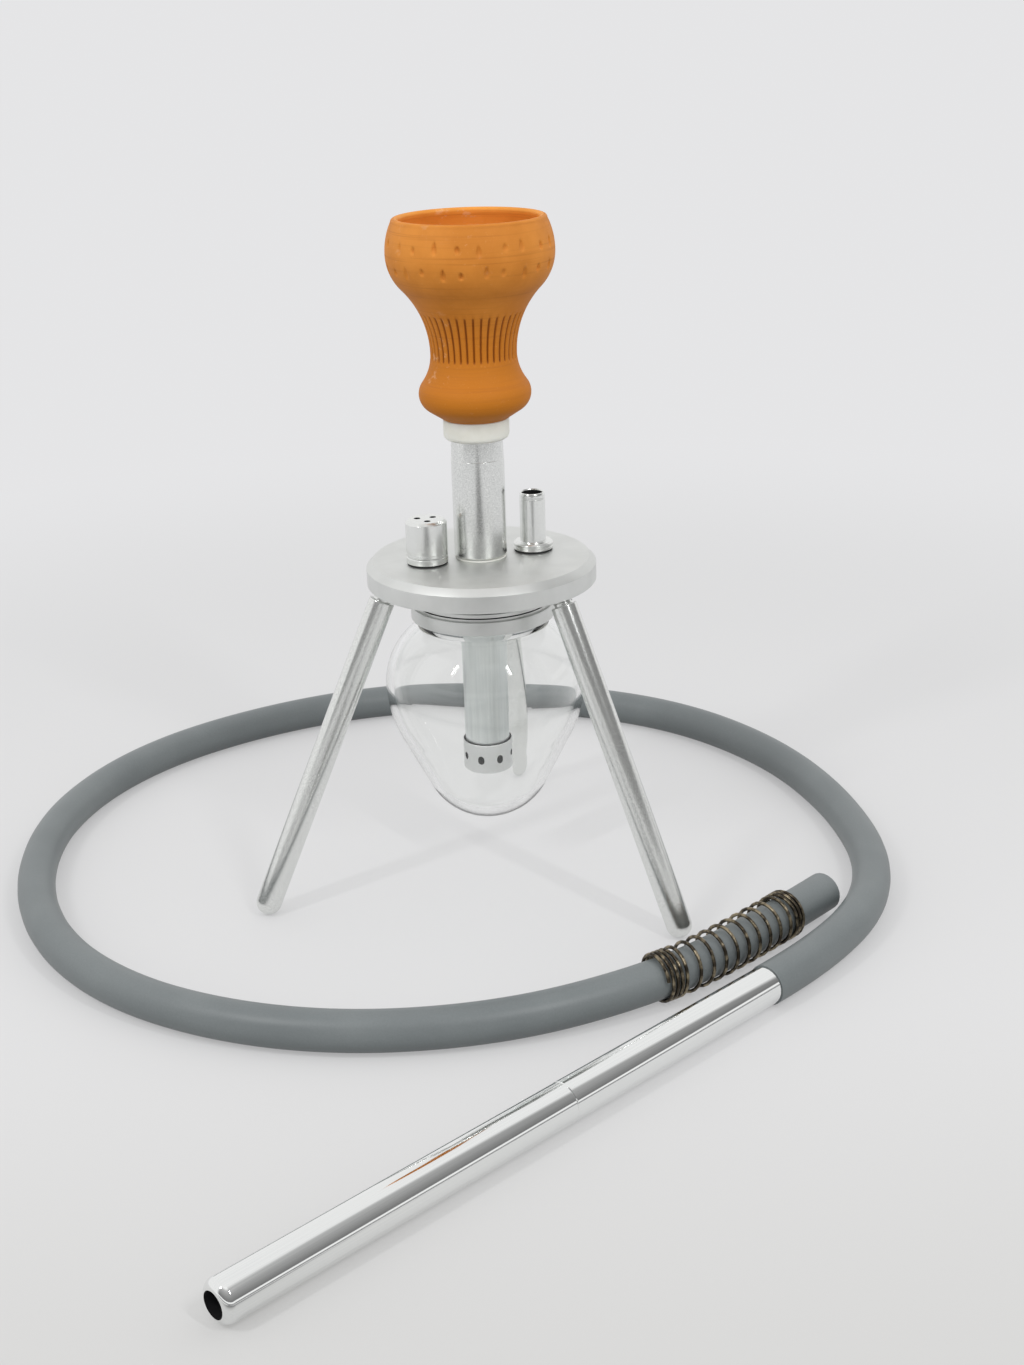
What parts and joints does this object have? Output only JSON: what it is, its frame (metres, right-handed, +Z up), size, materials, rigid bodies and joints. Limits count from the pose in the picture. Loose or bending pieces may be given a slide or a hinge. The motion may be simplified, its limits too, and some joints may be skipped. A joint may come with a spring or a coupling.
{
  "type": "tripod water pipe",
  "caption": "Small water pipe: a clay bowl on a stem over a round plate on screwed legs, a glass vase hung below, a purge valve, a hose port, and a loose hose with a mouthpiece.",
  "frame": {"origin": "on the floor, on the stem's axis, at the height of the three feet", "axes": "+Z up along the stem, +X from the stem towards the hose port, -X towards the purge valve"},
  "size_m": [0.4193, 0.5256, 0.3174],
  "materials": {
    "terracotta": "unglazed fired clay, turned, with fine turning lines",
    "white_silicone": "soft translucent white silicone",
    "blasted_aluminium": "bead-blasted, with a fine sparkling grain",
    "anodised_aluminium": "fine matte, clear anodised, bright chamfer",
    "turned_aluminium": "fine turned, satin",
    "bare_aluminium": "drawn tube, satin",
    "polished_aluminium": "mirror polished",
    "black_rubber": "matte black",
    "clear_glass": "clear, thick, blown",
    "grey_silicone": "soft-touch matte grey",
    "bronze_wire": "antique bronze plated steel wire",
    "steel_ball": "polished bearing ball"
  },
  "bodies": {
    "stand": {"top_plate": "anodised_aluminium", "stem_nipple": "turned_aluminium", "stem_gasket": "white_silicone", "purge_base": "turned_aluminium", "purge_gasket": "black_rubber", "hose_port": "turned_aluminium", "hose_port_gasket": "black_rubber", "collar_gasket": "black_rubber"},
    "stem": {"upper_stem": "blasted_aluminium", "bowl_grommet": "white_silicone"},
    "bowl": {"clay_bowl": "terracotta"},
    "downstem": {"downstem": "bare_aluminium"},
    "diffuser": {"diffuser": "bare_aluminium"},
    "bottle": {"bottle_collar": "turned_aluminium", "glass_vase": "clear_glass", "glass_seal": "white_silicone"},
    "purge_cap": {"purge_cap": "turned_aluminium"},
    "purge_ball": {"purge_ball": "steel_ball"},
    "leg_left": {"leg_left": "blasted_aluminium"},
    "leg_right": {"leg_right": "blasted_aluminium"},
    "leg_back": {"leg_back": "blasted_aluminium"},
    "hose_set": {"hose": "grey_silicone", "hose_spring": "bronze_wire", "mouthpiece_rear": "polished_aluminium"},
    "mouthpiece_tip": {"mouthpiece_front": "polished_aluminium"}
  },
  "joints": [
    {"name": "stem_turn", "type": "hinge", "parent": "stand", "child": "stem", "pos_m": [0, 0, 0.1627], "axis": [0, 0, 1], "continuous": true},
    {"name": "bowl_lift", "type": "slide", "parent": "stem", "child": "bowl", "axis": [0, 0, 1], "range_m": [0, 0.06]},
    {"name": "downstem_turn", "type": "hinge", "parent": "stand", "child": "downstem", "pos_m": [0, 0, 0.15171], "axis": [0, 0, 1], "continuous": true},
    {"name": "diffuser_turn", "type": "hinge", "parent": "downstem", "child": "diffuser", "pos_m": [0, 0, 0.068], "axis": [0, 0, 1], "continuous": true},
    {"name": "bottle_turn", "type": "hinge", "parent": "stand", "child": "bottle", "pos_m": [0, 0, 0.14521], "axis": [0, 0, 1], "continuous": true},
    {"name": "purge_cap_turn", "type": "hinge", "parent": "stand", "child": "purge_cap", "pos_m": [-0.026, 0, 0.1687], "axis": [0, 0, 1], "continuous": true},
    {"name": "purge_ball_lift", "type": "slide", "parent": "stand", "child": "purge_ball", "axis": [0, 0, 1], "range_m": [0, 0.005]},
    {"name": "leg_left_turn", "type": "hinge", "parent": "stand", "child": "leg_left", "pos_m": [-0.0469, 0, 0.15171], "axis": [0.4099, 0, 0.9121], "continuous": true},
    {"name": "leg_right_turn", "type": "hinge", "parent": "stand", "child": "leg_right", "pos_m": [0.02345, -0.04062, 0.15171], "axis": [-0.205, 0.355, 0.9121], "continuous": true},
    {"name": "leg_back_turn", "type": "hinge", "parent": "stand", "child": "leg_back", "pos_m": [0.02345, 0.04062, 0.15171], "axis": [-0.205, -0.355, 0.9121], "continuous": true},
    {"name": "hose_set_lift", "type": "slide", "parent": "stand", "child": "hose_set", "axis": [0, 0, 1], "range_m": [0, 0.1]},
    {"name": "mouthpiece_turn", "type": "hinge", "parent": "hose_set", "child": "mouthpiece_tip", "pos_m": [-0.04749, -0.21675, 0.00879], "axis": [-0.9145, -0.4045, -0.0017], "continuous": true}
  ]
}
